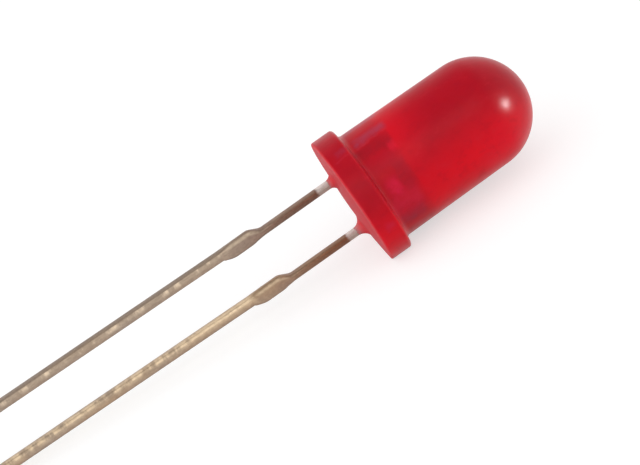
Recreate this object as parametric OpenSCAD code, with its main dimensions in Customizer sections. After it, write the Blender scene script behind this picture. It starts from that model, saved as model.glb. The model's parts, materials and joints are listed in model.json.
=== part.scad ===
// Round through hole LED, 5 mm, with a flanged diffused lens and full-length leads.
// It lies at rest on the flat of its flange and on the tip of its shorter lead.
// Origin: centre of the flange's seating face. +X points along the body to the dome, +Z up.

/* [Lens] */
// Diameter of the barrel where it leaves the flange
barrel_d = 5; // [4:0.1:8]
// Height of the lens from the seating face to the top of the dome
lens_h = 8.75; // [6.5:0.05:12]
// Draft of the barrel's wall, in degrees a side
barrel_draft = 0.6; // [0.2:0.1:2]
// How far the flange stands out past the barrel
flange_lip = 0.45; // [0.3:0.05:0.8]
// Thickness of the flange
flange_t = 1.05; // [0.8:0.05:1.6]
// Radius on the flange's edge that faces the dome
edge_round = 0.15; // [0.05:0.01:0.2]
// Radius of the fillet between the flange and the barrel
root_fillet = 0.15; // [0.05:0.01:0.25]
// How far the polarity flat stands out past the barrel
flat_proud = 0.05; // [0.02:0.01:0.2]

/* [Underside] */
// Height of the shallow mound of resin round the leads
mound_h = 0.15; // [0.05:0.01:0.3]
// Distance from the barrel's radius in to the edge of the mound
mound_inset = 0.4; // [0.2:0.05:0.6]
// Radius of the resin fillet that climbs the anode lead
anode_climb = 0.26; // [0.15:0.01:0.5]
// Radius of the resin fillet that climbs the cathode lead
cathode_climb = 0.36; // [0.15:0.01:0.5]

/* [Leads] */
// Distance between the two leads' axes at the seating face
lead_pitch = 2.54; // [2.2:0.01:3.2]
// Thickness of the sheet that the leads are stamped from
lead_t = 0.45; // [0.35:0.01:0.55]
// Width of a lead below its standoff
lead_w = 0.45; // [0.35:0.01:0.6]
// Width of a lead's neck, between the lens and the standoff
neck_w = 0.32; // [0.26:0.01:0.45]
// Corner radius of the tinned leads
lead_round = 0.12; // [0.05:0.01:0.12]
// Length of the cathode lead below the seating face
cathode_len = 25.5; // [12:0.5:32]
// Length of the anode lead below the seating face
anode_len = 27.5; // [12:0.5:34]
// Lean of both leads towards the anode side, in degrees
lead_lean = 1.2; // [0:0.1:3]

/* [Standoffs] */
// Distance from the seating face to the start of the standoffs
standoff_z = 3.9; // [2.5:0.1:5]
// Length of a standoff, with its tapers
standoff_len = 1.85; // [1.4:0.05:2.6]
// Width of a standoff across its flat stretch
standoff_w = 0.66; // [0.6:0.01:0.9]
// Length of the taper at the standoff's end nearer the lens
short_taper = 0.25; // [0.05:0.01:0.3]
// Length of the taper at the standoff's other end
long_taper = 0.45; // [0.4:0.05:0.8]
// How much further down the standoff's cathode side sits than its anode side
standoff_lag = 0.05; // [0:0.01:0.2]
// How far the standoff's middle sits to the anode side of its lead's neck
standoff_shift = 0.095; // [0.05:0.005:0.12]
// How far a lead's axis past its standoff sits to the anode side of its neck
lead_jog = 0.19; // [0:0.01:0.19]

/* [Lead frame heads] */
// Height of the wings' underside above the seating face
wing_z = 0.3; // [0.2:0.05:0.5]
// Height of the wings, measured along the axis
wing_h = 0.75; // [0.5:0.05:1]
// How far a wing stands out past its lead's axis
wing_reach = 0.42; // [0.3:0.01:0.5]
// Height of the reflector cup's rim above the seating face
cup_rim_z = 2.74; // [2.4:0.01:3.4]
// Room between the chip's corners and the edge of the cup's floor
chip_gap = 0.055; // [0.03:0.005:0.08]
// Wall of the cup at its rim
cup_wall = 0.08; // [0.05:0.01:0.12]
// Depth of the cup
cup_depth = 0.32; // [0.2:0.01:0.4]
// Half angle of the cup's reflecting cone, in degrees
cup_angle = 30; // [20:1:35]
// Thickness of metal under the cup's floor
cup_base = 0.25; // [0.15:0.01:0.35]
// Height of the cone that carries the cup on the anvil
cup_skirt = 0.25; // [0.15:0.01:0.35]
// Height of the bonding post's top above the cup's rim
post_rise = 0.23; // [0:0.01:0.4]
// Gap between the cup and the bonding post
post_gap = 0.26; // [0.15:0.01:0.4]
// Height of the bonding post's broad top
post_head = 0.7; // [0.4:0.05:0.9]

/* [Chip] */
// Side of the square chip
die_side = 0.28; // [0.2:0.01:0.32]
// Height of the chip
die_h = 0.18; // [0.1:0.01:0.22]
// Diameter of the chip's bond pad
pad_d = 0.12; // [0.1:0.01:0.16]
// Thickness of the chip's bond pad
pad_h = 0.012; // [0.01:0.001:0.02]
// Thickness of the adhesive under the chip
attach_t = 0.03; // [0.02:0.01:0.05]
// Diameter of the bond wire
wire_d = 0.034; // [0.025:0.001:0.05]

/* [Hidden] */
$fn = 64;
far = 20;          // larger than the lens in any direction
seam = 0.02;       // overlap of pieces that are fused into one solid

barrel_r = barrel_d / 2;
flange_r = barrel_r + flange_lip;
flat_x = barrel_r + flat_proud;
lead_x = lead_pitch / 2;

// The barrel's wall is the line r * cos(draft) + z * sin(draft) = wall_c.
// The dome is the sphere that touches that line and the lens's full height.
wall_c = barrel_r * cos(barrel_draft) + flange_t * sin(barrel_draft);
dome_r = (wall_c - lens_h * sin(barrel_draft)) / (1 - sin(barrel_draft));
dome_z = lens_h - dome_r;
fillet_z = flange_t + root_fillet;
fillet_x = (wall_c + root_fillet - fillet_z * sin(barrel_draft)) / cos(barrel_draft);

// The mound is the cap of a large sphere. Each lead's resin fillet starts a seam inside it,
// measured on the side of the lead where the mound is lowest.
mound_r = barrel_r - mound_inset;
cap_r = (mound_r * mound_r + mound_h * mound_h) / (2 * mound_h);
climb_r = lead_t / 2 + seam;        // radius of the resin at the top of its fillet
climb_edge = 0.08;                  // height of the thin edge that ends it on the lead

function mound_z(r) = r < mound_r ? cap_r - mound_h - sqrt(cap_r * cap_r - r * r) : 0;

leg_z = standoff_z + standoff_len;

// Lead frame above the seating face
die_corner = die_side / sqrt(2);
cup_floor_z = cup_rim_z - cup_depth;
cup_floor_r = die_corner + chip_gap;
cup_mouth_r = cup_floor_r + cup_depth * tan(cup_angle);
cup_r = cup_mouth_r + cup_wall;
head_z = cup_floor_z - cup_base;
shelf_x = 0.6 * cup_r;              // half width of the anvil where the skirt starts
shelf_top_x = 0.8 * cup_r;          // half width of the anvil inside the cup
post_z = cup_rim_z + post_rise;
post_x = cup_r + post_gap;
post_w = lead_x + wing_reach - post_x;
post_slope = max(seam, lead_x - neck_w / 2 - post_x);   // height of the slant under the post's top

// Chip, and the wire's ball and stitch, which are sized from the wire
die_z = cup_floor_z + attach_t;
ball_r = 1.4 * wire_d;
ball_h = 0.7 * wire_d;
stitch_r = 1.6 * wire_d;
stitch_h = 0.35 * wire_d;
ball_z = die_z + die_h + pad_h;
wire_foot_z = ball_z + ball_h / 2;
stitch_x = post_x + 0.3 * post_w;   // on the cup's side of the post's top
stitch_z = post_z + stitch_h / 2;
chord = norm([stitch_x, stitch_z - wire_foot_z]);
chord_angle = atan2(stitch_z - wire_foot_z, stitch_x);
loop_angle = 90 - chord_angle;      // the wire leaves the chip straight up
loop_r = chord / 2 / sin(loop_angle);
wire_over = 5;                      // the arc runs this many degrees past the stitch,
wire_trim = 2 * stitch_r;           // and is trimmed this deep under it

// Pose at rest: the flat's edge and the cathode lead's tip touch the same level surface.
cathode_leg = (cathode_len - leg_z) / cos(lead_lean);
tip_x = lead_jog - lead_x + cathode_leg * sin(lead_lean) - lead_w / 2 * cos(lead_lean);
tip_z = cathode_len + lead_w / 2 * sin(lead_lean);
rest_tilt = atan2(flat_x + tip_x, tip_z);

// Turns the LED from its own frame (z to the dome, x to the anode) to its pose at rest.
module at_rest() {
    rotate([0, 90 - rest_tilt, 0])
        rotate([0, 0, 180])
            children();
}

// Rectangle with round corners, drawn with true arcs.
module rounded_rect(w, h, r) {
    square([w - 2 * r, h], center = true);
    square([w, h - 2 * r], center = true);
    for (sx = [-1, 1], sy = [-1, 1])
        translate([sx * (w / 2 - r), sy * (h / 2 - r)])
            circle(r);
}

// Everything in the half plane x >= 0, for profiles that are revolved.
module half_plane() {
    translate([0, -far])
        square([far, 2 * far]);
}

// Plate stamped from the lead sheet, with its outline in the plane of the two leads.
module sheet() {
    rotate([90, 0, 0])
        linear_extrude(height = lead_t, center = true)
            children();
}

// ---- Lens ----

// The flange's lower edge is square, because it is the open side of the casting mould.
module flange_profile() {
    square([flange_r, flange_t - edge_round]);
    square([flange_r - edge_round, flange_t]);
    translate([flange_r - edge_round, flange_t - edge_round])
        circle(edge_round);
}

module barrel_profile() {
    top_r = dome_r * cos(barrel_draft);
    top_z = dome_z + dome_r * sin(barrel_draft);
    polygon([
        [0, flange_t / 2],
        [barrel_r + flange_t / 2 * tan(barrel_draft), flange_t / 2],
        [top_r, top_z],
        [0, top_z]
    ]);
    translate([0, dome_z])
        circle(dome_r);
}

module root_fillet_profile() {
    difference() {
        translate([barrel_r - root_fillet, flange_t - seam])
            square([fillet_x - barrel_r + root_fillet, root_fillet + seam]);
        translate([fillet_x, fillet_z])
            circle(root_fillet);
    }
}

module mound_profile() {
    intersection() {
        translate([0, cap_r - mound_h])
            circle(cap_r);
        translate([0, -mound_h])
            square([mound_r, mound_h + seam]);
    }
}

// Resin drawn up round a lead: a hollow curve that ends in a thin edge.
module climb(radius) {
    foot_r = climb_r + radius;
    translate([0, 0, mound_z(lead_x + foot_r) + seam - radius])
        rotate_extrude() {
            difference() {
                square([foot_r, radius + seam]);
                translate([foot_r, 0])
                    circle(radius);
            }
            polygon([
                [0, seam],
                [climb_r, 0],
                [neck_w / 2, -climb_edge],
                [0, -climb_edge]
            ]);
        }
}

module casting() {
    difference() {
        rotate_extrude()
            intersection() {
                union() {
                    flange_profile();
                    barrel_profile();
                    root_fillet_profile();
                    mound_profile();
                }
                half_plane();
            }
        translate([-flat_x - far, -far / 2, -far / 2])
            cube([far, far, far / 2 + fillet_z]);
    }
    translate([-lead_x, 0, 0])
        climb(cathode_climb);
    translate([lead_x, 0, 0])
        climb(anode_climb);
}

module lens_body() {
    color([0.80, 0.10, 0.15])
        at_rest()
            difference() {
                casting();
                cathode_solid();
                anode_solid();
                attach_solid();
                die_solid();
                wire_solid();
            }
}

// ---- Leads ----

// Neck from the wings down into the standoff.
module lead_neck() {
    translate([0, 0, -standoff_z - standoff_lag - 2 * short_taper])
        linear_extrude(height = standoff_z + standoff_lag + 2 * short_taper + wing_z + seam)
            rounded_rect(neck_w, lead_t, lead_round);
}

// Stub of the tie bar that once joined the two leads.
module standoff() {
    top_right = neck_w / 2;
    top_left = -neck_w / 2;
    right = standoff_shift + standoff_w / 2;
    left = standoff_shift - standoff_w / 2;
    leg_right = lead_jog + lead_w / 2;
    leg_left = lead_jog - lead_w / 2;
    intersection() {
        sheet()
            polygon([
                [top_right, -standoff_z],
                [right, -standoff_z - short_taper],
                [right, -leg_z + long_taper],
                [leg_right, -leg_z],
                [leg_left, -leg_z],
                [left, -leg_z + long_taper - standoff_lag],
                [left, -standoff_z - short_taper - standoff_lag],
                [top_left, -standoff_z - standoff_lag]
            ]);
        translate([standoff_shift, 0, -leg_z])
            linear_extrude(height = standoff_len)
                rounded_rect(standoff_w, lead_t, lead_round);
    }
}

// Straight leg from the standoff to its square-cut end.
module leg(lead_len) {
    reach = (lead_len - leg_z) / cos(lead_lean);
    root = long_taper / 2;
    translate([lead_jog, 0, -leg_z])
        rotate([0, -lead_lean, 0])
            translate([0, 0, -reach])
                linear_extrude(height = reach + root)
                    rounded_rect(lead_w, lead_t, lead_round);
}

module outer_lead(lead_len) {
    lead_neck();
    standoff();
    leg(lead_len);
}

// Anvil: wings, a shank and the shelf that carries the cup.
module anvil_outline() {
    out = lead_x + wing_reach;
    in = lead_x - wing_reach;
    shank_out = lead_x + neck_w / 2;
    polygon([
        [-out, wing_z],
        [-in, wing_z],
        [-in, wing_z + wing_h / 2],
        [shelf_x, head_z - cup_skirt],
        [shelf_top_x, head_z + seam],
        [-shelf_top_x, head_z + seam],
        [-shank_out, head_z - 2 * cup_skirt],
        [-shank_out, wing_z + wing_h + wing_reach - neck_w / 2],
        [-out, wing_z + wing_h]
    ]);
}

// Coined head: a round boss with the reflecting cone sunk in its top.
module cup() {
    difference() {
        rotate_extrude()
            polygon([
                [0, head_z - cup_skirt],
                [lead_t / 2, head_z - cup_skirt],
                [cup_r, head_z],
                [cup_r, cup_rim_z],
                [0, cup_rim_z]
            ]);
        rotate_extrude()
            polygon([
                [0, cup_floor_z],
                [cup_floor_r, cup_floor_z],
                [cup_mouth_r, cup_rim_z],
                [cup_mouth_r + seam * tan(cup_angle), cup_rim_z + seam],
                [0, cup_rim_z + seam]
            ]);
    }
}

module cathode_solid() {
    translate([-lead_x, 0, 0])
        outer_lead(cathode_len);
    sheet()
        anvil_outline();
    cup();
}

// Bonding post: wings, a shank and a broad top for the wire's stitch.
module post_outline() {
    out = lead_x + wing_reach;
    in = lead_x - wing_reach;
    shank_in = lead_x - neck_w / 2;
    shank_out = lead_x + wing_reach / 2;
    polygon([
        [in, wing_z],
        [out, wing_z],
        [out, wing_z + wing_h],
        [shank_out, wing_z + wing_h + wing_reach / 2],
        [shank_out, post_z],
        [post_x, post_z],
        [post_x, post_z - post_head],
        [shank_in, post_z - post_head - post_slope],
        [shank_in, wing_z + wing_h],
        [in, wing_z + wing_h / 2]
    ]);
}

module anode_solid() {
    translate([lead_x, 0, 0])
        outer_lead(anode_len);
    sheet()
        post_outline();
}

module cathode_lead() {
    color([0.62, 0.55, 0.46])
        at_rest()
            cathode_solid();
}

module anode_lead() {
    color([0.60, 0.56, 0.50])
        at_rest()
            anode_solid();
}

// ---- Chip, adhesive and wire ----

module attach_solid() {
    translate([0, 0, cup_floor_z])
        cylinder(h = attach_t, r1 = die_corner + chip_gap / 2, r2 = die_corner);
}

module die_solid() {
    translate([-die_side / 2, -die_side / 2, die_z])
        cube([die_side, die_side, die_h]);
    translate([0, 0, die_z + die_h])
        cylinder(h = pad_h, d = pad_d);
}

module wire_loop() {
    translate([0, 0, wire_foot_z])
        rotate([90, 0, 0])
            rotate([0, 0, chord_angle])
                translate([chord / 2, -loop_r * cos(loop_angle)])
                    rotate([0, 0, 90 - loop_angle - wire_over])
                        rotate_extrude(angle = 2 * loop_angle + wire_over)
                            translate([loop_r, 0])
                                circle(d = wire_d);
}

module wire_solid() {
    translate([0, 0, ball_z])
        cylinder(h = ball_h, r = ball_r);
    difference() {
        wire_loop();
        translate([stitch_x, 0, stitch_z - wire_trim])
            cylinder(h = wire_trim, r = wire_trim);
    }
    translate([stitch_x, 0, post_z])
        cylinder(h = stitch_h, r = stitch_r);
}

module led_die() {
    color([0.35, 0.30, 0.28])
        at_rest()
            die_solid();
}

module die_attach() {
    color([0.75, 0.75, 0.76])
        at_rest()
            attach_solid();
}

module bond_wire() {
    color([0.95, 0.75, 0.25])
        at_rest()
            wire_solid();
}

lens_body();
cathode_lead();
anode_lead();
led_die();
die_attach();
bond_wire();
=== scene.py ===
import json
import math

import bmesh
import bpy
from bpy.props import (
    FloatProperty,
    FloatVectorProperty,
    IntProperty,
    PointerProperty,
)
from mathutils import Matrix, Vector


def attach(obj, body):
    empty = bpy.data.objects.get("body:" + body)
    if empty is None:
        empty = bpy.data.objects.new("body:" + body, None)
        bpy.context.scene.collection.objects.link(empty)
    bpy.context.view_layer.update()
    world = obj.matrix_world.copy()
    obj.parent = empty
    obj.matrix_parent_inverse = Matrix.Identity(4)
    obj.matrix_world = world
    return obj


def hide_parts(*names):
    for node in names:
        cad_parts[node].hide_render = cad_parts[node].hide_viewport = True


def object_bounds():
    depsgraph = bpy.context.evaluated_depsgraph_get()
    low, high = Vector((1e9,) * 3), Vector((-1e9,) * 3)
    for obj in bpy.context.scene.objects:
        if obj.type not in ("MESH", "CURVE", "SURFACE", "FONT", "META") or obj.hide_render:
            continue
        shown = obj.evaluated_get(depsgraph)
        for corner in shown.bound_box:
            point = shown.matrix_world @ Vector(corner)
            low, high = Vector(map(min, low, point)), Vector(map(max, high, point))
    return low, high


bl_info = {
    "name": "Through Hole LED",
    "version": (1, 0, 0),
    "blender": (4, 5, 0),
    "location": "3D View > Sidebar > LED",
    "description": "Builds the cast lens, the stamped leads and the studio of a round LED",
    "category": "Add Mesh",
}

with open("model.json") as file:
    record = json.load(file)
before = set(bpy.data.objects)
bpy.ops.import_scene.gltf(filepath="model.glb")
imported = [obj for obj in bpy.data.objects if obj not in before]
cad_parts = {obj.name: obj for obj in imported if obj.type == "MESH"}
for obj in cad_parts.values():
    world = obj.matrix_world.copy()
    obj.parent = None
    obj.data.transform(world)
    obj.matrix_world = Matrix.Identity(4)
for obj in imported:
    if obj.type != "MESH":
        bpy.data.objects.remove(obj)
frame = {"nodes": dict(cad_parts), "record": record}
CAD_LOW, CAD_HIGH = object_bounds()
MM = 0.001


# ---- The LED's own frame: x to the anode, z to the dome, origin on the seating face ----

def record_mount(name):
    """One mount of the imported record, by name."""
    for mount in frame["record"]["mounts"]:
        if mount["name"] == name:
            return mount
    raise RuntimeError(f"the record has no mount named {name}")


AXIS = Vector(record_mount("flange_rim")["axis"]).normalized()
ANODE_SIDE = Vector((-AXIS.z, 0.0, AXIS.x))
NEAR_SIDE = Vector((0.0, -1.0, 0.0))
SEAT = Vector(record_mount("seating_face")["pos_m"])
LED_FRAME = Matrix((
    (ANODE_SIDE.x, NEAR_SIDE.x, AXIS.x, SEAT.x),
    (ANODE_SIDE.y, NEAR_SIDE.y, AXIS.y, SEAT.y),
    (ANODE_SIDE.z, NEAR_SIDE.z, AXIS.z, SEAT.z),
    (0.0, 0.0, 0.0, 1.0),
))
RIM_RADIUS = record_mount("flange_rim")["dims"]["r_mm"] * MM
BARREL_RADIUS = record_mount("lens_barrel")["dims"]["r_mm"] * MM


# ---- Sizes and colours ----

def length(name, description, default):
    return FloatProperty(name=name, description=description, default=default,
                         min=0.0, precision=5, unit="LENGTH", subtype="DISTANCE")


def colour(name, description, default):
    return FloatVectorProperty(name=name, description=description, default=default,
                               size=3, min=0.0, max=1.0, subtype="COLOR")


class LensSizes(bpy.types.PropertyGroup):
    height: length("Height", "Seating face to the top of the dome", 8.745 * MM)
    rim_radius: length("Rim Radius", "Radius of the flange", RIM_RADIUS - 0.006 * MM)
    barrel_radius: length("Barrel Radius", "Radius of the barrel at the flange", BARREL_RADIUS)
    flange: length("Flange", "Thickness of the flange", 1.05 * MM)
    flat: length("Flat", "Distance from the axis to the polarity flat", 2.55 * MM)
    rim_round: length("Rim Round", "Radius on the flange's edge towards the dome", 0.15 * MM)
    base_round: length("Base Round", "Radius on the flange's lower edge", 0.08 * MM)
    root: length("Root Fillet", "Fillet between the flange and the barrel", 0.20 * MM)
    mound: length("Mound", "Height of the resin mound under the flange", 0.15 * MM)
    mound_radius: length("Mound Radius", "Radius of the mound", 2.1 * MM)
    anode_climb: length("Anode Climb", "How far resin is drawn up the anode lead", 0.32 * MM)
    cathode_climb: length("Cathode Climb", "How far resin is drawn up the cathode lead", 0.42 * MM)
    anode_reach: length("Anode Reach", "How far the drawn-up resin spreads from the anode", 0.36 * MM)
    cathode_reach: length("Cathode Reach", "How far the drawn-up resin spreads from the cathode",
                          0.44 * MM)
    draft: FloatProperty(name="Draft", description="Slope of the barrel's wall",
                         default=math.radians(0.6), subtype="ANGLE")
    segments: IntProperty(name="Segments", description="Faces round the lens",
                          default=320, min=48, max=512)


class LeadSizes(bpy.types.PropertyGroup):
    pitch: length("Pitch", "Distance between the leads at the seating face", 2.54 * MM)
    sheet: length("Sheet", "Thickness of the stamped sheet", 0.45 * MM)
    width: length("Width", "Width of a lead below its standoff", 0.45 * MM)
    neck: length("Neck", "Width of a lead between the lens and the standoff", 0.32 * MM)
    corner: length("Corner", "Corner radius of the tinned section", 0.14 * MM)
    plump: length("Plump Corner", "Corner radius where tin gathers on a standoff", 0.205 * MM)
    cathode: length("Cathode", "Length of the cathode lead", 25.5 * MM)
    anode: length("Anode", "Length of the anode lead", 27.5 * MM)
    standoff_at: length("Standoff At", "Seating face to the standoffs", 3.9 * MM)
    standoff_long: length("Standoff Length", "Length of a standoff", 1.85 * MM)
    standoff_wide: length("Standoff Width", "Width of a standoff with its tin", 0.71 * MM)
    short_taper: length("Short Taper", "Taper nearer the lens", 0.25 * MM)
    long_taper: length("Long Taper", "Taper at the far end", 0.45 * MM)
    lag: length("Lag", "How much lower the cathode side of a standoff sits", 0.05 * MM)
    shift: length("Standoff Shift", "Standoff's middle to the anode side of its neck", 0.095 * MM)
    jog: length("Jog", "Leg's axis to the anode side of its neck", 0.19 * MM)
    head: length("Head Cut", "Height where the swept lead ends inside its head", 0.36 * MM)
    ripple: length("Ripple", "Depth of the unevenness in the tin", 0.005 * MM)
    lean: FloatProperty(name="Lean", description="Lean of both leads to the anode side",
                        default=math.radians(1.2), subtype="ANGLE")


class Finishes(bpy.types.PropertyGroup):
    resin: colour("Resin", "Pigment of the diffused resin", (0.47, 0.002, 0.013))
    # Painted glow: the brighter red painted where light gathers in the resin.
    resin_painted_glow: colour("Resin Glow", "Resin where light gathers in it", (0.90, 0.005, 0.018))
    # Painted glow: the underside painted paler and pinker, for light coming through the resin.
    resin_underside_glow: colour("Underside Glow", "Thin resin under the flange", (0.76, 0.070, 0.084))
    tin: colour("Tin", "Plated lead past the standoff", (0.37, 0.288, 0.228))
    tin_warm: colour("Warm Tin", "Warmer patches of the plating", (0.49, 0.330, 0.205))
    stain: colour("Heat Stain", "Brown heat stain on the neck", (0.18, 0.080, 0.058))
    stain_warm: colour("Warm Stain", "Heat stain under warmer plating", (0.23, 0.090, 0.047))
    bare: colour("Silvered Root", "Silvered stretch beside the resin", (0.55, 0.450, 0.395))
    # Painted highlights: bright tin colours painted where a lead's corners catch the light, cool and
    # warm.
    painted_highlight: colour("Painted Highlight", "Bright tin on the rubbed corners", (0.97, 0.79, 0.60))
    painted_highlight_warm: colour("Warm Painted Highlight", "Rubbed tin under warmer plating", (0.97, 0.75, 0.50))
    # Painted shade: darker metal on the corners between the painted highlights.
    edge: colour("Painted Edge Shade", "Darker metal along the other corners", (0.14, 0.10, 0.075))


class Studio(bpy.types.PropertyGroup):
    lens: FloatProperty(name="Focal Length", description="Camera's focal length in millimetres",
                        default=270.0, min=50.0, max=400.0)
    view_width: length("View Width", "Width that the camera sees at the LED", 26.667 * MM)
    paper: FloatProperty(name="Paper", description="Albedo of the floor", default=0.5,
                         min=0.0, max=1.0, subtype="FACTOR")


# ---- Node tree helpers ----

class Value:
    """What a node puts out. Sums written with values become Math nodes in their tree."""

    def __init__(self, socket):
        self.socket = socket
        self.tree = socket.id_data

    def math(self, operation, *others):
        """This value and the others through a Math node."""
        return calc(self.tree, operation, self, *others)

    def __add__(self, other):
        return self.math("ADD", other)

    def __sub__(self, other):
        return self.math("SUBTRACT", other)

    def __rsub__(self, other):
        return calc(self.tree, "SUBTRACT", other, self)

    def __mul__(self, other):
        return self.math("MULTIPLY", other)

    def __truediv__(self, other):
        return self.math("DIVIDE", other)

    def __rtruediv__(self, other):
        return calc(self.tree, "DIVIDE", other, self)


def feed(node, feeds):
    """Links values to a node's inputs, by name or number, and sets plain numbers and colours."""
    for key, value in feeds.items():
        if isinstance(value, Value):
            node.id_data.links.new(value.socket, node.inputs[key])
        else:
            node.inputs[key].default_value = value


def add(tree, kind, feeds=None, out=0, **settings):
    """Adds a node and returns one of its outputs, by name or number."""
    node = tree.nodes.new(kind)
    for name, value in settings.items():
        setattr(node, name, value)
    feed(node, feeds or {})
    return Value(node.outputs[out])


def named_outputs(node):
    """All of a node's outputs, by name."""
    return {socket.name: Value(socket) for socket in node.outputs}


def calc(tree, operation, *values):
    """Output of a Math node."""
    return add(tree, "ShaderNodeMath", dict(enumerate(values)), operation=operation)


def calc_vector(tree, operation, *values):
    """Output of a Vector Math node: a number for a dot product or a length, else a vector."""
    out = "Value" if operation in ("DOT_PRODUCT", "LENGTH") else "Vector"
    return add(tree, "ShaderNodeVectorMath", dict(enumerate(values)), out, operation=operation)


def combine(x, y, z=0.0):
    """A vector from two or three values."""
    return add(x.tree, "ShaderNodeCombineXYZ", {"X": x, "Y": y, "Z": z})


def split(vector):
    """The x, y and z of a vector."""
    node = vector.tree.nodes.new("ShaderNodeSeparateXYZ")
    feed(node, {0: vector})
    return [Value(socket) for socket in node.outputs]


def ramp(value, low, high, to_low=0.0, to_high=1.0, kind="SMOOTHSTEP"):
    """value mapped from low..high to to_low..to_high, held at the ends."""
    return add(value.tree, "ShaderNodeMapRange", {
        "Value": value, "From Min": low, "From Max": high, "To Min": to_low, "To Max": to_high,
    }, "Result", interpolation_type=kind)


def blend(factor, under, over, kind="MIX"):
    """Two colours mixed by factor; each is a value or plain red, green and blue."""
    node = factor.tree.nodes.new("ShaderNodeMix")
    node.data_type, node.blend_type = "RGBA", kind
    under, over = (c if isinstance(c, Value) else (*c, 1.0) for c in (under, over))
    feed(node, {0: factor, 6: under, 7: over})
    return Value(node.outputs[2])


def new_group(name, kind, inputs, outputs):
    """An empty node group with named sockets; returns it, its inputs' values and its output node."""
    group = bpy.data.node_groups.new(name, kind)
    for direction, sockets in (("INPUT", inputs), ("OUTPUT", outputs)):
        for label, socket_type in sockets.items():
            group.interface.new_socket(label, in_out=direction, socket_type=socket_type)
    given = named_outputs(group.nodes.new("NodeGroupInput"))
    return group, given, group.nodes.new("NodeGroupOutput")


# ---- Geometry Nodes ----

NUMBER, WHOLE, VECTOR, SOLID, FINISH = (
    "NodeSocketFloat", "NodeSocketInt", "NodeSocketVector", "NodeSocketGeometry", "NodeSocketMaterial")


def wrapped_grid(rows, columns):
    """A grid with one row for each point of rows; returns it, each point's column share and row."""
    count = add(rows.tree, "GeometryNodeAttributeDomainSize", {"Geometry": rows}, "Point Count")
    grid = add(rows.tree, "GeometryNodeMeshGrid", {
        "Size X": 1.0, "Size Y": 1.0, "Vertices X": columns + 1.0, "Vertices Y": count,
    }, "Mesh")
    across, up, _ = split(add(rows.tree, "GeometryNodeInputPosition"))
    return grid, across + 0.5, ((up + 0.5) * (count - 1.0)).math("ROUND")


def row_value(rows, name, row):
    """The named attribute of one of the rows' points."""
    every = add(rows.tree, "GeometryNodeInputNamedAttribute", {"Name": name}, "Attribute",
                data_type="FLOAT")
    return add(rows.tree, "GeometryNodeSampleIndex", {
        "Geometry": rows, "Value": every, "Index": row,
    }, data_type="FLOAT", domain="POINT")


def close_and_finish(grid, position, material, out):
    """Moves the grid's points, closes its seam and poles, and sets its material."""
    tree = grid.tree
    piece = add(tree, "GeometryNodeSetPosition", {"Geometry": grid, "Position": position})
    piece = add(tree, "GeometryNodeMergeByDistance", {"Geometry": piece, "Distance": 1e-8})
    piece = add(tree, "GeometryNodeSetShadeSmooth", {"Geometry": piece, "Shade Smooth": True})
    piece = add(tree, "GeometryNodeRealizeInstances", {"Geometry": piece})
    feed(out, {0: add(tree, "GeometryNodeSetMaterial", {"Geometry": piece, "Material": material})})


def cast_lens_tree():
    """Revolves an outline, presses in the flat and draws resin up round each lead."""
    numbers = ("Flat", "Barrel Radius", "Rim Radius", "Crowding", "Lead Offset", "Half Neck",
               "Half Sheet", "Corner", "Anode Climb", "Cathode Climb", "Anode Reach", "Cathode Reach")
    tree, size, out = new_group("Cast Lens", "GeometryNodeTree", {
        "Outline": SOLID, "Segments": WHOLE, **dict.fromkeys(numbers, NUMBER), "Finish": FINISH,
    }, {"Lens": SOLID})
    grid, share, row = wrapped_grid(size["Outline"], size["Segments"])
    radius, height, under = (row_value(size["Outline"], name, row)
                             for name in ("radius", "height", "underside"))
    # The columns crowd together where the two leads come out.
    even = share * (2 * math.pi)
    angle = even - (even * 2.0).math("SINE") * (size["Crowding"] * 0.5)
    cosine, sine = angle.math("COSINE"), angle.math("SINE")

    # Past the barrel's radius, each ring is squeezed in towards the flat.
    barrel, rim = size["Barrel Radius"], size["Rim Radius"]
    towards_flat = (cosine * -1.0).math("MAXIMUM", 0.001)
    limit = rim.math("MINIMUM", size["Flat"] / towards_flat)
    squeeze = (limit - barrel) / (rim - barrel)
    past = (radius - barrel).math("MAXIMUM", 0.0)
    pressed = radius.math("MINIMUM", barrel) + past * squeeze
    x, y = pressed * cosine, pressed * sine

    def climb(lead_x, rise, reach):
        """Height of resin drawn up a lead: a hollow curve from its section out to reach."""
        corner = size["Corner"]
        beside = (x - lead_x).math("ABSOLUTE") - (size["Half Neck"] - corner)
        across = y.math("ABSOLUTE") - (size["Half Sheet"] - corner)
        outside = combine(beside.math("MAXIMUM", 0.0), across.math("MAXIMUM", 0.0))
        away = calc_vector(tree, "LENGTH", outside) - corner
        near = (1.0 - away / reach).math("MAXIMUM", 0.0).math("MINIMUM", 1.0)
        return rise * (1.0 - (1.0 - near * near).math("SQRT"))

    drawn = (climb(size["Lead Offset"], size["Anode Climb"], size["Anode Reach"])
             + climb(size["Lead Offset"] * -1.0, size["Cathode Climb"], size["Cathode Reach"]))
    close_and_finish(grid, combine(x, y, height - under * drawn), size["Finish"], out)
    return tree


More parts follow.
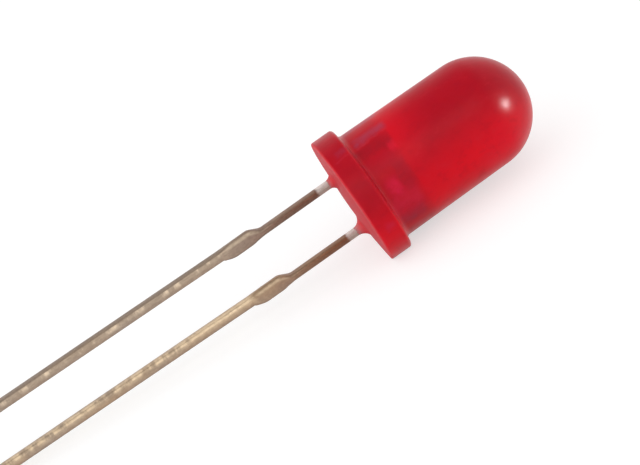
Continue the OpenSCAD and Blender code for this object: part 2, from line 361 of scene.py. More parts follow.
def drawn_lead_tree():
    """Sweeps a round-cornered section along a lead's stations, with a slight ripple in its tin."""
    tree, size, out = new_group("Drawn Lead", "GeometryNodeTree", {
        "Stations": SOLID, "Section Points": WHOLE, "Ripple": NUMBER, "Ripple Length": NUMBER,
        "Seed": NUMBER, "Finish": FINISH,
    }, {"Lead": SOLID})
    grid, share, row = wrapped_grid(size["Stations"], size["Section Points"])
    step = 2 * math.pi / size["Section Points"]
    angle = share * (2 * math.pi) + step * 0.5
    cosine, sine = angle.math("COSINE"), angle.math("SINE")
    middle, height, half_wide, half_deep, corner, lean, painted_highlight = (
        row_value(size["Stations"], name, row)
        for name in ("middle", "height", "half_wide", "half_deep", "corner", "lean", "painted_highlight"))

    def offset(half, direction):
        """Distance from the middle to the section's edge, along one of its sides."""
        return direction.math("SIGN") * (half - corner) + direction * corner

    spot = combine(cosine * 0.35, sine * 0.35, height / size["Ripple Length"])
    rough = add(tree, "ShaderNodeTexNoise", {
        "Vector": spot, "W": size["Seed"], "Scale": 1.0, "Detail": 2.0,
    }, noise_dimensions="4D")
    sunk = 1.0 - size["Ripple"] * rough / half_deep.math("MAXIMUM", 1e-5)
    wide, deep = offset(half_wide, cosine) * sunk, offset(half_deep, sine) * sunk
    position = combine(middle + wide * lean.math("COSINE"), deep, height + wide * lean.math("SINE"))
    # 1 where the highlight is painted on the tin and on the far side from there, and -1 halfway between.
    mark = ((angle - painted_highlight) * 2.0).math("COSINE")
    grid = add(tree, "GeometryNodeStoreNamedAttribute", {
        "Geometry": grid, "Name": "corner_mark", "Value": mark,
    }, data_type="FLOAT", domain="POINT")
    close_and_finish(grid, position, size["Finish"], out)
    return tree


def chain_mesh(name, rows):
    """A chain of points whose attributes are the values of rows, one dictionary each."""
    mesh = bpy.data.meshes.new(name)
    mesh.from_pydata([(0.0, 0.0, float(i)) for i in range(len(rows))],
                     [(i, i + 1) for i in range(len(rows) - 1)], [])
    for key in rows[0]:
        attribute = mesh.attributes.new(key, "FLOAT", "POINT")
        attribute.data.foreach_set("value", [row[key] for row in rows])
    return mesh


def grow(name, base, tree, values):
    """Runs a Geometry Nodes tree on a base mesh and returns its result as a plain piece."""
    carrier = bpy.data.objects.new(name + "_base", base)
    bpy.context.scene.collection.objects.link(carrier)
    modifier = carrier.modifiers.new("Build", "NODES")
    modifier.node_group = tree
    sockets = {item.name: item.identifier for item in tree.interface.items_tree
               if item.in_out == "INPUT"}
    for label, value in values.items():
        modifier[sockets[label]] = value
    evaluated = carrier.evaluated_get(bpy.context.evaluated_depsgraph_get())
    mesh = bpy.data.meshes.new_from_object(evaluated)
    bpy.data.objects.remove(carrier)
    bpy.data.meshes.remove(base)
    return settle(name, mesh)


def settle(name, mesh):
    """Places a mesh made in the LED's own frame, with its faces outwards, as a new piece."""
    mesh.transform(LED_FRAME)
    shell = bmesh.new()
    shell.from_mesh(mesh)
    bmesh.ops.recalc_face_normals(shell, faces=shell.faces)
    if shell.calc_volume(signed=True) < 0:
        bmesh.ops.reverse_faces(shell, faces=shell.faces)
    open_edges = sum(1 for edge in shell.edges if not edge.is_manifold)
    shell.to_mesh(mesh)
    shell.free()
    if open_edges:
        raise RuntimeError(f"{name} has {open_edges} open edges")
    mesh.name = name
    piece = bpy.data.objects.new(name, mesh)
    bpy.context.scene.collection.objects.link(piece)
    return piece


def hand_over(piece, node):
    """Puts a finished piece on the root body, in place of a CAD node."""
    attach(piece, "root")
    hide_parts(node)


# ---- Shader groups ----

def led_place_group(name):
    """Place on the LED in its own frame, from Object coordinates.

    Place, Along the axis and Out from it are in millimetres; Round is in degrees from the anode side.
    """
    group, _, out = new_group(name, "ShaderNodeTree", {}, {
        "Place": VECTOR, "Along": NUMBER, "Round": NUMBER, "Out": NUMBER})
    here = calc_vector(group, "SUBTRACT", add(group, "ShaderNodeTexCoord", out="Object"), SEAT)
    x, y, z = (calc_vector(group, "DOT_PRODUCT", here, side) * (1 / MM)
               for side in (ANODE_SIDE, NEAR_SIDE, AXIS))
    feed(out, {
        "Place": combine(x, y, z),
        "Along": z,
        "Round": calc(group, "ARCTAN2", y.math("ABSOLUTE"), x).math("DEGREES"),
        "Out": calc_vector(group, "LENGTH", combine(x, y)),
    })
    return group


def grain_group(name):
    """Unevenness of a cast or plated surface, drawn out along the LED's axis."""
    group, given, out = new_group(name, "ShaderNodeTree", {
        "Place": VECTOR, "Size": NUMBER, "Stretch": NUMBER, "Sharpness": NUMBER,
    }, {"Height": NUMBER, "Mask": NUMBER})
    x, y, z = split(given["Place"])
    drawn = combine(x, y, z / given["Stretch"])
    scale = 1.0 / given["Size"]
    coarse = add(group, "ShaderNodeTexNoise", {
        "Vector": drawn, "Scale": scale, "Detail": 3.0, "Roughness": 0.55})
    fine = add(group, "ShaderNodeTexNoise", {"Vector": drawn, "Scale": scale * 4.3, "Detail": 2.0})
    edge = 0.5 / given["Sharpness"].math("MAXIMUM", 0.01)
    feed(out, {"Height": coarse + fine * 0.25, "Mask": ramp(coarse, 0.5 - edge, edge + 0.5)})
    return group


def soft_patch_group(name):
    """A soft-edged patch on the lens: a range of angle round the axis and of height along it."""
    group, size, out = new_group(name, "ShaderNodeTree", dict.fromkeys(
        ("Along", "Round", "Low", "High", "From", "To", "Soft Along", "Soft Round"), NUMBER,
    ), {"Mask": NUMBER})

    def between(value, low, high, soft):
        return ramp(value, low - soft, low + soft) * ramp(value, high - soft, high + soft, 1.0, 0.0)

    feed(out, {"Mask": between(size["Along"], size["Low"], size["High"], size["Soft Along"])
               * between(size["Round"], size["From"], size["To"], size["Soft Round"])})
    return group


SHARED_GROUPS = {"LED Place": led_place_group, "Grain": grain_group, "Soft Patch": soft_patch_group}


def place_on(tree, name, **feeds):
    """A shared node group in a material, fed by socket name; returns its outputs."""
    node = tree.nodes.new("ShaderNodeGroup")
    node.node_tree = bpy.data.node_groups.get(name) or SHARED_GROUPS[name](name)
    feed(node, {label.replace("_", " "): value for label, value in feeds.items()})
    return named_outputs(node)


def grain(led, size, stretch, sharpness):
    """Grain of a size in millimetres, drawn out by stretch along the LED."""
    return place_on(led["Place"].tree, "Grain", Place=led["Place"],
                    Size=size, Stretch=stretch, Sharpness=sharpness)


def new_material(name):
    """An empty material, its tree and its Principled BSDF."""
    material = bpy.data.materials.new(name)
    material.use_nodes = True
    tree = material.node_tree
    return material, tree, tree.nodes["Principled BSDF"]


def bump(height, depth):
    """Normal from a height, for a relief of this depth."""
    return add(height.tree, "ShaderNodeBump", {"Height": height, "Strength": 1.0, "Distance": depth})


# ---- Finishes ----

# Painted shade and painted gleams of the lead frame seen through the resin: low and high along the axis
# in millimetres, from and to round the axis in degrees from the anode, softness of both, strength, tint.
FRAME_SHADE_AND_GLEAMS = (
    ("post edge", 1.32, 2.88, 9.5, 19.5, 0.12, 3.5, 0.70, (0.40, 0.050, 0.105)),
    ("post edge gleam", 1.32, 2.85, 20.5, 22.0, 0.12, 1.3, 0.35, (0.62, 0.050, 0.070)),
    ("post face", 1.10, 2.78, 23.5, 38.0, 0.12, 4.0, 0.55, (0.30, 0.008, 0.020)),
    ("post heel", 2.45, 2.80, 35.0, 46.0, 0.08, 4.0, 0.45, (0.82, 0.014, 0.048)),
    ("bridge", 1.10, 2.70, 40.0, 55.0, 0.12, 5.0, 0.22, (0.50, 0.012, 0.040)),
    ("anvil head", 2.08, 2.66, 55.0, 86.0, 0.10, 5.0, 0.42, (0.36, 0.014, 0.034)),
    ("anvil gleam", 1.42, 1.98, 67.0, 85.0, 0.16, 6.0, 0.75, (0.78, 0.016, 0.080)),
    ("anvil side", 1.10, 2.50, 84.0, 107.0, 0.14, 8.0, 0.50, (0.70, 0.026, 0.076)),
    ("anvil edge", 1.15, 2.34, 106.0, 121.0, 0.12, 6.0, 0.50, (0.32, 0.030, 0.070)),
    ("anvil back", 1.15, 2.34, 160.0, 171.0, 0.07, 3.0, 0.60, (0.36, 0.040, 0.090)),
    ("wing edge", 0.45, 0.95, 19.0, 25.0, 0.10, 2.5, 0.45, (0.36, 0.030, 0.080)),
    ("wing line", 0.25, 1.02, 28.0, 30.0, 0.10, 1.2, 0.30, (0.60, 0.040, 0.080)),
    ("wing gleam", 0.42, 0.84, 96.0, 103.0, 0.08, 3.0, 0.50, (0.66, 0.020, 0.075)),
)
DEEP_RED = (0.33, 0.003, 0.014)


def painted_glow(led):
    """Painted glow in the resin's colour: brighter on the cathode side, and again just past the lead
    frame.
    """
    along = led["Along"]
    glow = ramp(led["Round"], 40.0, 115.0).math("MAXIMUM", ramp(along, 2.7, 5.0, 0.5, 0.0))
    # Painted shade where the lead frame stands in the light.
    shaded = ramp(along, 1.05, 1.35) * ramp(along, 2.3, 2.9, 0.6, 0.0)
    glow = glow * (1.0 - shaded)
    # Painted shade: the dome's top is dimmer, and the painted glow is even round its pole.
    glow = glow * ramp(along, 7.4, 8.7, 1.0, 0.35)
    return (glow - 0.3) * ramp(led["Out"], 0.2, 1.5) + 0.3


def painted_lead_frame(led, base):
    """Paints into base the lead frame's shade and gleams as seen through the resin; the diffusing powder
    makes their outlines waver.
    """
    powder = grain(led, 0.42, 1.0, 1.5)["Height"]
    waver = ramp(powder, 0.35, 0.90, -1.0, 1.0, "LINEAR")
    cloud = ramp(powder, 0.35, 0.85, 0.45, 1.0)
    along, turn = led["Along"] + waver * 0.07, led["Round"] + waver * -2.2
    for _, low, high, start, end, soft_along, soft_round, strength, tint in FRAME_SHADE_AND_GLEAMS:
        patch = place_on(base.tree, "Soft Patch", Along=along, Round=turn,
                         Low=low, High=high, From=start, To=end,
                         Soft_Along=soft_along, Soft_Round=soft_round)
        base = blend(patch["Mask"] * cloud * strength, base, tint)
    return base


def diffused_resin(colours):
    """Dyed, diffused epoxy: light spreads inside it and its skin is glossy. Its colour carries painted
    glow, painted shade and the lead frame's painted shade and gleams.
    """
    material, tree, shader = new_material("Diffused Red Resin")
    led = place_on(tree, "LED Place")
    along, turn = led["Along"], led["Round"]
    cloudy = grain(led, 1.6, 1.4, 1.2)
    skin = grain(led, 0.16, 1.0, 2.0)["Height"]

    # Painted glow: the resin turns to its glow colour where the painted light gathers.
    base = blend(painted_glow(led), colours.resin, colours.resin_painted_glow)
    # Painted glow: a brighter red on the dome's shoulder, on the cathode side.
    shoulder = ramp(along, 4.6, 6.8) * ramp(turn, 70.0, 125.0)
    base = blend(shoulder * 0.7, base, (1.0, 0.012, 0.034))
    # Painted shade: the flange darker, most on the anode side.
    flange = ramp(along, 1.0, 1.25, 1.0, 0.0) * ramp(turn, 60.0, 112.0, 0.55, 0.15)
    base = blend(flange, base, DEEP_RED)
    base = blend(cloudy["Mask"] * 0.22, base, (0.34, 0.004, 0.018))
    base = painted_lead_frame(led, base)
    # Fine streaks of powder close under the skin, pale and dark.
    powder = grain(led, 0.36, 1.5, 2.0)["Height"]
    pale = ramp(powder, 0.62, 0.95) * ramp(cloudy["Height"], 0.45, 0.80)
    base = blend(pale * 0.35, base, (0.68, 0.022, 0.040))
    base = blend(ramp(powder, 0.64, 0.40, 0.0, 0.16), base, DEEP_RED)
    # Painted glow: the underside and the flange's lower edge painted paler and pinker, for light coming
    # through the resin; that face is also rougher.
    bottom_face = ramp(along, 0.0, 0.10, 1.0, 0.0)
    base = blend(bottom_face * 0.85, base, colours.resin_underside_glow)
    # Drawn up a lead the resin is thinnest, and the silvered metal shows through it.
    base = blend(ramp(along, -0.48, -0.16, 0.75, 0.0), base, (0.62, 0.30, 0.30))

    # The mould is best polished in the dome and in the fillet at the barrel's root.
    from_fillet = (along - 1.12).math("ABSOLUTE")
    feed(shader, {
        "Base Color": base,
        "Roughness": ramp(skin, 0.3, 0.9, 0.285, 0.35) + bottom_face * 0.28,
        "Subsurface Weight": 0.85,
        "Subsurface Radius": (1.0, 0.10, 0.12),
        "Subsurface Scale": 0.5 * MM,
        "IOR": 1.5,
        "Specular IOR Level": 0.10,
        "Coat Weight": ramp(from_fillet, 0.06, 0.20, 0.25, 0.0) + ramp(along, 6.8, 7.4, 0.0, 0.15),
        "Coat Roughness": 0.30,
        "Normal": bump(cloudy["Height"] + skin * 0.025, 0.016 * MM),
    })
    return material


def plated_lead(name, colours, band, warmth):
    """Tinned lead: silvered at the resin, heat-stained brown on the neck, dull tin past the standoff,
    with painted highlights on some corners and painted shade on the others.
    """
    material, tree, shader = new_material(name)
    led = place_on(tree, "LED Place")
    down = led["Along"] * -1.0
    corner = add(tree, "ShaderNodeAttribute", out="Fac", attribute_name="corner_mark")
    drawn = grain(led, 0.20, 5.0, 2.5)["Height"]
    crystals = grain(led, 0.09, 1.8, 3.0)
    patches = grain(led, 1.1, 3.0, 2.0)
    dashes = grain(led, 1.6, 0.45, 3.0)["Height"]

    def between(cool, hot):
        """A finish between its cool and warm colours, for this lead."""
        return [a + warmth * (b - a) for a, b in zip(cool, hot)]

    base = blend(patches["Mask"] * warmth, colours.tin, colours.tin_warm)
    stained = ramp(down + drawn * 0.5, 1.4, 6.7, 1.0, 0.0)
    base = blend(stained, base, between(colours.stain, colours.stain_warm))
    # Painted highlight: the silvered stretch is lighter on the corners where the painted highlight runs
    # and on their far side.
    silver = blend(ramp(corner, 0.0, 0.95), colours.bare, (0.80, 0.70, 0.655))
    base = blend(ramp(down + drawn * 0.15, 0.98, 1.12, 1.0, 0.0), base, silver)
    # Painted highlights: broken bright dashes along the leg, a plain one on the standoff's shoulder, a
    # faint one above.
    rare = 0.66 - 0.18 * warmth
    highlight_dashes = ramp(dashes, rare, rare + 0.17, 0.20, 0.95)
    highlight_dashes = highlight_dashes * (ramp(corner, *band) * ramp(down, 5.4, 5.9))
    shoulder_gleam = ramp(down, 0.95, 1.10, 0.0, 0.13) + ramp(down, 3.8, 4.2, 0.0, 0.32)
    shoulder_gleam = shoulder_gleam * ramp(corner, 0.30, 0.95) * ramp(down, 5.2, 5.8, 1.0, 0.0)
    base = blend(highlight_dashes.math("MAXIMUM", shoulder_gleam), base, between(colours.painted_highlight, colours.painted_highlight_warm))
    # Painted shade along the corners between the painted highlights, patchy and less on the warmer lead.
    deep = ramp(patches["Height"], 0.3, 0.9, 0.25 - 0.1 * warmth, 0.55 - 0.2 * warmth)
    base = blend(ramp(corner, -0.2, -0.85) * deep, base, colours.edge)
    base = blend(crystals["Mask"] * 0.18, base, (0.16, 0.12, 0.10), "MULTIPLY")
    feed(shader, {
        "Base Color": base,
        "Metallic": 0.9,
        "Roughness": ramp(drawn, 0.35, 0.85, 0.29, 0.46),
        "Normal": bump(drawn + crystals["Height"] * 0.35, 0.022 * MM),
    })
    return material


def inner_part(name, tone, shade, metallic, rough, size, depth, stretch=1.0):
    """Finish of an inner part: two close tones, a roughness from low to high and a fine grain."""
    material, tree, shader = new_material(name)
    marks = grain(place_on(tree, "LED Place"), size, stretch, 2.0)
    feed(shader, {
        "Base Color": blend(marks["Mask"], tone, shade),
        "Metallic": metallic,
        "Roughness": ramp(marks["Height"], 0.3, 0.9, *rough),
        "Normal": bump(marks["Height"], depth),
    })
    return material


# ---- Outlines ----

def arc(centre_r, centre_z, radius, start, end, steps):
    """Points of an arc in the outline's plane, from start to end degrees."""
    points = []
    for i in range(steps + 1):
        a = math.radians(start + (end - start) * i / steps)
        points.append((centre_r + radius * math.cos(a), centre_z + radius * math.sin(a)))
    return points


def spread(start, end, steps):
    """Points of a straight line, with both ends."""
    return [(start[0] + (end[0] - start[0]) * i / steps,
             start[1] + (end[1] - start[1]) * i / steps) for i in range(steps + 1)]


def drafted_wall(lens):
    """The barrel's wall is the line r * cos(draft) + z * sin(draft) = this."""
    return lens.barrel_radius * math.cos(lens.draft) + lens.flange * math.sin(lens.draft)


def dome_radius(lens):
    """Radius of the sphere that touches the drafted wall and the lens's full height."""
    slope = math.sin(lens.draft)
    return (drafted_wall(lens) - lens.height * slope) / (1 - slope)


def lens_outline(lens):
    """Half section of the lens, from the underside's middle to the top of the dome."""
    cos_d, sin_d = math.cos(lens.draft), math.sin(lens.draft)
    wall, dome_r = drafted_wall(lens), dome_radius(lens)
    dome_z = lens.height - dome_r
    fillet_z = lens.flange + lens.root
    fillet_r = (wall + lens.root - fillet_z * sin_d) / cos_d
    cap = (lens.mound_radius ** 2 + lens.mound ** 2) / (2 * lens.mound)
    skin = 0.02 * MM        # rings this far from an edge keep its highlight narrow
    climb_from, climb_to = (0.74 * MM, 0.0), (1.86 * MM, 0.0)
    rim, foot, top = lens.rim_radius, lens.base_round, lens.rim_round

    # Underside: close rings only where resin climbs the leads.
    mound = (spread((0.0, 0.0), climb_from, 12)[:-1] + spread(climb_from, climb_to, 84)[:-1]
             + spread(climb_to, (lens.mound_radius, 0.0), 4))
    under = [(r, cap - lens.mound - math.sqrt(cap * cap - r * r)) for r, _ in mound]
    under += spread((lens.mound_radius, 0.0), (rim - foot - skin, 0.0), 8)[1:]
    side = arc(rim - foot, foot, foot, -90, 0, 4)
    side += spread((rim, foot + skin), (rim, lens.flange - top - skin), 4)
    side += arc(rim - top, lens.flange - top, top, 0, 90, 8)
    side += spread((rim - top - skin, lens.flange), (fillet_r + skin, lens.flange), 2)
    side += arc(fillet_r, fillet_z, lens.root, -90, -180 + math.degrees(lens.draft), 8)
    side += spread(side[-1], (dome_r * cos_d, dome_z + dome_r * sin_d), 30)[1:]
    side += arc(0.0, dome_z, dome_r, math.degrees(lens.draft), 90, 56)[1:]
    side[-1] = (0.0, lens.height)
    return [{"radius": r, "height": z, "underside": share}
            for points, share in ((under, 1.0), (side, 0.0)) for r, z in points]


def edge_at(points, down):
    """Distance of a lead's edge from its axis, this far below the seating face."""
    for (z0, x0), (z1, x1) in zip(points, points[1:]):
        if down <= z1:
            return x0 + (x1 - x0) * max(0.0, (down - z0) / (z1 - z0))
    return points[-1][1]


def eased_edge(points, down, reach):
    """The same, rounded over a short stretch as the tin rounds it."""
    window = [down + reach * k / 4 for k in range(-4, 5)]
    return sum(edge_at(points, d) for d in window) / len(window)


def lead_edges(lead):
    """Both edges of a lead from the seating face to its leg: anode side first, then cathode side."""
    leg = lead.standoff_at + lead.standoff_long
    for side, lag in ((1, 0.0), (-1, lead.lag)):
        wide = lead.standoff_wide / 2 + side * lead.shift
        yield [(0.0, lead.neck / 2), (lead.standoff_at + lag, lead.neck / 2),
               (lead.standoff_at + lead.short_taper + lag, wide),
               (leg - lead.long_taper + lag, wide), (leg, lead.width / 2 + side * lead.jog)]


def lead_stations(lead, reach, side, painted_highlight):
    """Sections of a lead from its square-cut tip to its head; side is 1 for the anode, -1 the cathode.

    painted_highlight is the angle round the leg, from the anode side, at which a highlight is painted on
    its tin.
    The painted highlight moves over the standoff's shoulder and on to the neck's upper face.
    """
    on_shoulder, on_neck = 52.0, 15.0
    step, bevel = 0.07 * MM, 0.03 * MM
    leg = lead.standoff_at + lead.standoff_long
    middle = side * lead.pitch / 2
    anode_edge, cathode_edge = lead_edges(lead)
    rows = []
    length_below = (reach - leg) / math.cos(lead.lean)
    count = round(length_below / step)
    for i in range(count + 1):
        t = length_below * (count - i) / count
        rows.append({
            "middle": middle + lead.jog + t * math.sin(lead.lean),
            "height": -leg - t * math.cos(lead.lean),
            "half_wide": lead.width / 2, "half_deep": lead.sheet / 2,
            "corner": lead.corner, "lean": lead.lean, "painted_highlight": math.radians(painted_highlight),
        })
    tip = dict(rows[0])
    rows[0].update(half_wide=tip["half_wide"] - bevel / 2, half_deep=tip["half_deep"] - bevel / 2)
    rows.insert(0, dict(tip, half_wide=0.0, half_deep=0.0, corner=0.0))
    count = round((leg + lead.head) / step)
    for i in range(1, count + 1):
        down = leg - (leg + lead.head) * i / count
        right, left = (eased_edge(edge, max(down, 0.0), lead.plump)
                       for edge in (anode_edge, cathode_edge))
        below = max(0.0, 1 - (leg - down) / lead.long_taper)
        above = min(1.0, down / lead.standoff_at) ** 8
        shoulder = on_neck + above * (on_shoulder - on_neck)
        gathered = min(1.0, max(0.0, (down - lead.standoff_at) / lead.short_taper),
                       max(0.0, (leg - down) / lead.long_taper))
        rows.append({
            "middle": middle + (right - left) / 2, "height": -down,
            "half_wide": (right + left) / 2, "half_deep": lead.sheet / 2,
            "corner": lead.corner + gathered * (lead.plump - lead.corner),
            "lean": lead.lean * max(0.0, 1 - (leg - down) / (4 * lead.corner)),
            "painted_highlight": math.radians(shoulder + below * (painted_highlight - shoulder)),
        })
    rows.append(dict(rows[-1], half_wide=0.0, half_deep=0.0, corner=0.0))
    return rows


# ---- Pieces ----

class LED_OT_cast_lens(bpy.types.Operator):
    """Cast the diffused lens with its flange, flat, mound and drawn-up resin"""
    bl_idname = "led.cast_lens"
    bl_label = "Cast Lens"

    def execute(self, context):
        scene = context.scene
        lens, lead = scene.led_lens, scene.led_lead
        outline = chain_mesh("lens_outline", lens_outline(lens))
        piece = grow("lens_casting", outline, cast_lens_tree(), {
            "Segments": lens.segments, "Flat": lens.flat, "Barrel Radius": lens.barrel_radius,
            "Rim Radius": lens.rim_radius, "Crowding": 0.5, "Lead Offset": lead.pitch / 2,
            "Half Neck": lead.neck / 2, "Half Sheet": lead.sheet / 2, "Corner": lead.corner,
            "Anode Climb": lens.anode_climb, "Cathode Climb": lens.cathode_climb,
            "Anode Reach": lens.anode_reach, "Cathode Reach": lens.cathode_reach,
            "Finish": diffused_resin(scene.led_finish),
        })
        hand_over(piece, "lens_body")
        return {"FINISHED"}


class LED_OT_draw_leads(bpy.types.Operator):
    """Draw both leads with their necks, standoffs and square-cut tips"""
    bl_idname = "led.draw_leads"
    bl_label = "Draw Leads"

    def execute(self, context):
        scene = context.scene
        lead = scene.led_lead
        tree = drawn_lead_tree()
        # Each lead's painted highlight angle, the corner band of its painted dashes and its warmth.
        for end, reach, side, painted_highlight, band, warmth in (
            ("anode", lead.anode, 1, 68.0, (0.55, 0.95), 0.35),
            ("cathode", lead.cathode, -1, 42.0, (-0.30, 0.50), 0.95),
        ):
            name = end + "_outer"
            stations = chain_mesh(name + "_stations", lead_stations(lead, reach, side, painted_highlight))
            piece = grow(name, stations, tree, {
                "Section Points": 32, "Ripple": lead.ripple, "Ripple Length": 0.45 * MM,
                "Seed": 3.0 * side,
                "Finish": plated_lead("Plated " + name, scene.led_finish, band, warmth),
            })
            hand_over(piece, end + "_lead")
        return {"FINISHED"}


class LED_OT_stamp_heads(bpy.types.Operator):
    """Stamp the heads that the resin holds: the cup's anvil and the bonding post"""
    bl_idname = "led.stamp_heads"
    bl_label = "Stamp Heads"

    def execute(self, context):
        finish = inner_part("Silvered Head", (0.72, 0.67, 0.64), (0.60, 0.57, 0.56), metallic=1.0,
                            rough=(0.22, 0.38), size=0.12, depth=0.006 * MM, stretch=2.0)
        cut_at = 0.22 * MM
        for end in ("anode", "cathode"):
            node = end + "_lead"
            shell = bmesh.new()
            shell.from_mesh(frame["nodes"][node].data)
            shell.transform(LED_FRAME.inverted())
            bmesh.ops.remove_doubles(shell, verts=shell.verts, dist=1e-7)
            cut = bmesh.ops.bisect_plane(
                shell, geom=shell.verts[:] + shell.edges[:] + shell.faces[:], dist=1e-8,
                plane_co=(0.0, 0.0, cut_at), plane_no=(0.0, 0.0, 1.0), clear_inner=True)
            rim = [item for item in cut["geom_cut"] if isinstance(item, bmesh.types.BMEdge)]
            bmesh.ops.contextual_create(shell, geom=rim)
            mesh = bpy.data.meshes.new(end + "_head")
            shell.to_mesh(mesh)
            shell.free()
            mesh.materials.clear()
            mesh.materials.append(finish)
            piece = settle(end + "_head", mesh)
            soften = piece.modifiers.new("Soften", "BEVEL")
            soften.width, soften.segments = 0.012 * MM, 2
            soften.limit_method, soften.angle_limit = "ANGLE", math.radians(40)
            hand_over(piece, node)
        return {"FINISHED"}


class LED_OT_finish_chip(bpy.types.Operator):
    """Give the chip, its adhesive and the bond wire their finishes"""
    bl_idname = "led.finish_chip"
    bl_label = "Finish Chip"

    def execute(self, context):
        finishes = {
            "led_die": inner_part(
                "Chip", (0.16, 0.12, 0.10), (0.10, 0.08, 0.07), metallic=0.0,
                rough=(0.30, 0.45), size=0.05, depth=0.002 * MM),
            "die_attach": inner_part(
                "Silver Adhesive", (0.62, 0.62, 0.63), (0.50, 0.50, 0.51), metallic=0.6,
                rough=(0.50, 0.65), size=0.03, depth=0.004 * MM),
            "bond_wire": inner_part(
                "Gold Wire", (0.95, 0.66, 0.25), (0.88, 0.58, 0.20), metallic=1.0,
                rough=(0.20, 0.35), size=0.04, depth=0.001 * MM),
        }
        for node, finish in finishes.items():
            slots = frame["nodes"][node].material_slots
            if not slots:
                frame["nodes"][node].data.materials.append(finish)
            for slot in slots:
                slot.material = finish
        return {"FINISHED"}


# ---- Stage ----

WHITE = (1.0, 1.0, 1.0, 1.0)
# Where the camera stands, in the LED's own frame: mostly beside it and a little above the
# plane of the leads, with the dome turned slightly away.
BESIDE = (0.4540 * ANODE_SIDE + 0.8910 * NEAR_SIDE).normalized()
DOME_AWAY = math.radians(2.6)
TOWARDS_CAMERA = math.cos(DOME_AWAY) * BESIDE - math.sin(DOME_AWAY) * AXIS
AXIS_IN_VIEW = math.radians(35.25)      # the LED's axis above the view's horizontal
SEAT_IN_VIEW = (1.296 * MM, 1.271 * MM)     # seating face from the view's centre


def light_path(tree):
    """1 for rays from the camera, and 1 for rays that come by a mirror or through glass."""
    path = named_outputs(tree.nodes.new("ShaderNodeLightPath"))
    return path["Is Camera Ray"], path["Is Glossy Ray"].math("MAXIMUM", path["Is Transmission Ray"])


def paper_floor(albedo):
    """White paper that still shows a shadow; it is lifted to white where the camera sees it."""
    material, tree, shader = new_material("White Paper")
    seen, mirrored = light_path(tree)
    feed(shader, {
        "Base Color": (albedo, albedo, albedo, 1.0),
        "Roughness": 1.0,
        "Specular IOR Level": 0.0,
        "Emission Color": WHITE,
        "Emission Strength": seen.math("MAXIMUM", mirrored) * 0.60,
    })
    return material


def lay_paper(scene, albedo):
    """Lays a large sheet of paper under the LED, at the level that it rests on."""
    half, ground = 0.9, CAD_LOW.z
    sheet = bpy.data.meshes.new("paper")
    sheet.from_pydata([(-half, -half, ground), (half, -half, ground),
                       (half, half, ground), (-half, half, ground)], [], [(0, 1, 2, 3)])
    sheet.materials.append(paper_floor(albedo))
    paper = bpy.data.objects.new("paper", sheet)
    scene.collection.objects.link(paper)


def soft_daylight(scene):
    """Soft daylight from the near side, and a white backdrop that metal shows as dimmer overhead."""
    world = bpy.data.worlds.new("Studio")
    scene.world = world
    world.use_nodes = True
    tree = world.node_tree
    tree.nodes.clear()
    way = add(tree, "ShaderNodeTexCoord", out="Generated")
    seen, mirrored = light_path(tree)
    window = calc_vector(tree, "DOT_PRODUCT", way, Vector((-0.25, -0.85, -0.25)).normalized())
    lit = ramp(window, -1.0, 1.0, 0.55, 1.40, "LINEAR")
    above = calc_vector(tree, "DOT_PRODUCT", way, Vector((0.0, -0.40, 1.0)).normalized())
    shown = ramp(above, 0.30, 0.65, 1.0, 0.60)
    strength = lit + mirrored * (shown - lit) + seen * (1.0 - lit)
    light = add(tree, "ShaderNodeBackground", {"Color": WHITE, "Strength": strength})
    feed(tree.nodes.new("ShaderNodeOutputWorld"), {"Surface": light})


def soft_box(name, centre, aim, size, power, cone=180.0):
    """A round area lamp at centre, turned to aim; cone is how widely it shines, in degrees."""
    lamp = bpy.data.lights.new(name, "AREA")
    lamp.shape, lamp.size, lamp.energy, lamp.spread = "DISK", size, power, math.radians(cone)
    holder = bpy.data.objects.new(name, lamp)
    holder.location = centre
    holder.rotation_mode = "QUATERNION"
    holder.rotation_quaternion = (aim - centre).to_track_quat("-Z", "Y")
    holder.visible_camera = holder.visible_diffuse = False
    bpy.context.scene.collection.objects.link(holder)


def hang_lamps(lens):
    """A small lamp close to the dome puts the glint on it; a wide one above brightens the tin."""
    dome = dome_radius(lens)
    facing = (0.486 * AXIS + 0.150 * AXIS.cross(BESIDE) + 0.861 * BESIDE).normalized()
    glint = SEAT + (lens.height - dome) * AXIS + dome * facing
    mirrored = 2 * facing.dot(TOWARDS_CAMERA) * facing - TOWARDS_CAMERA
    soft_box("glint", glint + 5.4 * MM * mirrored, glint, size=1.45 * MM, power=2.3e-5, cone=40.0)
    body = Vector((0.002, 0.0, 0.0))
    above = Vector((0.06, -0.72, 0.70)).normalized()
    soft_box("upper", 0.6 * above, body, size=0.30, power=0.25)


def view_directions():
    """The view's right, its up and the direction from the LED to the camera."""
    back = TOWARDS_CAMERA
    along = (AXIS - AXIS.dot(back) * back).normalized()
    across = back.cross(along)
    right = math.cos(AXIS_IN_VIEW) * along - math.sin(AXIS_IN_VIEW) * across
    up = math.sin(AXIS_IN_VIEW) * along + math.cos(AXIS_IN_VIEW) * across
    return right, up, back


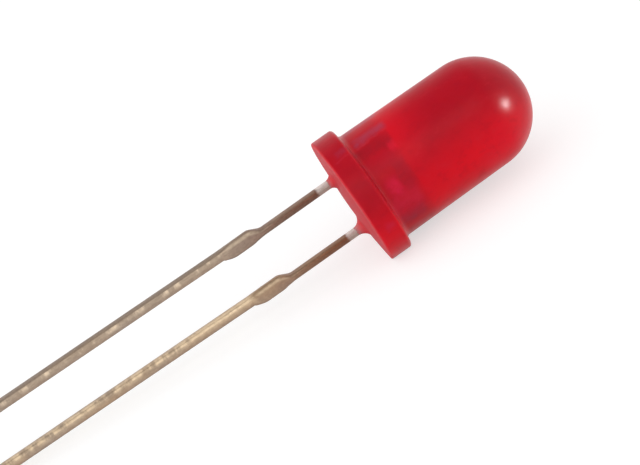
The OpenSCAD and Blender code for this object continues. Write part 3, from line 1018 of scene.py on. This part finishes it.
def place_camera(scene, studio):
    """Sets the camera as far off as gives the studio's view width at the LED."""
    right, up, back = view_directions()
    camera = bpy.data.cameras.new("camera")
    camera.type, camera.lens, camera.sensor_width = "PERSP", studio.lens, 36.0
    camera.clip_start, camera.clip_end = 0.01, 5.0
    distance = studio.view_width / 2 / (camera.sensor_width / 2 / camera.lens)
    holder = bpy.data.objects.new("camera", camera)
    holder.matrix_world = Matrix((right, up, back)).transposed().to_4x4()
    centre = SEAT - SEAT_IN_VIEW[0] * right - SEAT_IN_VIEW[1] * up
    holder.location = centre + distance * back
    scene.collection.objects.link(holder)
    scene.camera = holder


class LED_OT_set_stage(bpy.types.Operator):
    """Lay the paper, set the lamps and place the camera"""
    bl_idname = "led.set_stage"
    bl_label = "Set Stage"

    def execute(self, context):
        scene = context.scene
        lay_paper(scene, scene.led_studio.paper)
        soft_daylight(scene)
        hang_lamps(scene.led_lens)
        place_camera(scene, scene.led_studio)
        scene.view_settings.view_transform = "Standard"
        return {"FINISHED"}


class LED_PT_panel(bpy.types.Panel):
    """Lists the steps that build the LED and its stage"""
    bl_idname = "LED_PT_panel"
    bl_label = "Through Hole LED"
    bl_space_type = "VIEW_3D"
    bl_region_type = "UI"
    bl_category = "LED"

    def draw(self, context):
        for step in STEPS:
            self.layout.operator(step.bl_idname)


STEPS = (LED_OT_cast_lens, LED_OT_draw_leads, LED_OT_stamp_heads, LED_OT_finish_chip, LED_OT_set_stage)
SETTINGS = {"led_lens": LensSizes, "led_lead": LeadSizes, "led_finish": Finishes, "led_studio": Studio}


def register():
    for kind in (*SETTINGS.values(), *STEPS, LED_PT_panel):
        bpy.utils.register_class(kind)
    for name, kind in SETTINGS.items():
        setattr(bpy.types.Scene, name, PointerProperty(type=kind))


def unregister():
    for name in SETTINGS:
        delattr(bpy.types.Scene, name)
    for kind in (LED_PT_panel, *reversed(STEPS), *reversed(SETTINGS.values())):
        bpy.utils.unregister_class(kind)


def main():
    register()
    bpy.ops.led.cast_lens()
    bpy.ops.led.draw_leads()
    bpy.ops.led.stamp_heads()
    bpy.ops.led.finish_chip()
    bpy.ops.led.set_stage()


if __name__ == "__main__":
    main()
